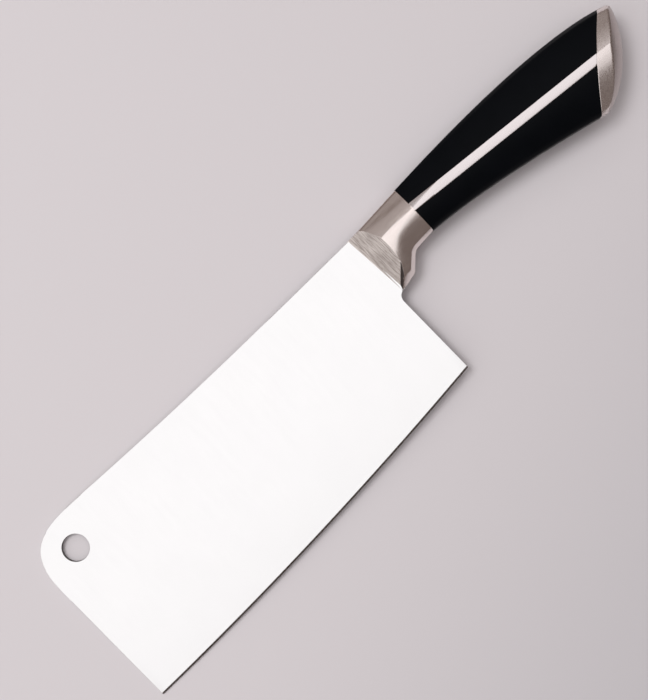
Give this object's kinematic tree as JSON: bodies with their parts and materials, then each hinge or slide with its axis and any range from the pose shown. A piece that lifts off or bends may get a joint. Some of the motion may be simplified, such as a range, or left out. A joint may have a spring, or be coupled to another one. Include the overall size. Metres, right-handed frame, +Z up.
{
  "type": "meat cleaver",
  "caption": "Meat cleaver: broad ground steel blade with a hang hole, steel bolster, black handle covers with a steel strip along each side, and a domed steel pommel cap.",
  "frame": {"origin": "centre of the bottom of the whole cleaver's box, on the surface that it lies on", "axes": "+X from the blade's front edge towards the handle's butt, +Y from the cutting edge towards the spine, +Z up, with the cleaver lying on its right side as it comes to rest on a table"},
  "size_m": [0.2926, 0.0746, 0.0224],
  "materials": {
    "blade_steel": "fine ground satin stainless steel",
    "handle_steel": "linished satin stainless steel",
    "rivet_steel": "plain turned steel",
    "grip_moulding": "satin black moulding with a soft sheen",
    "core_moulding": "plain dark moulding, hidden"
  },
  "bodies": {
    "root": {"blade": "blade_steel", "bolster": "handle_steel", "left_strip": "handle_steel", "right_strip": "handle_steel", "pommel_cap": "handle_steel", "upper_grip": "grip_moulding", "lower_grip": "grip_moulding", "left_core": "core_moulding", "right_core": "core_moulding", "front_rivet": "rivet_steel", "middle_rivet": "rivet_steel", "rear_rivet": "rivet_steel"}
  },
  "joints": []
}
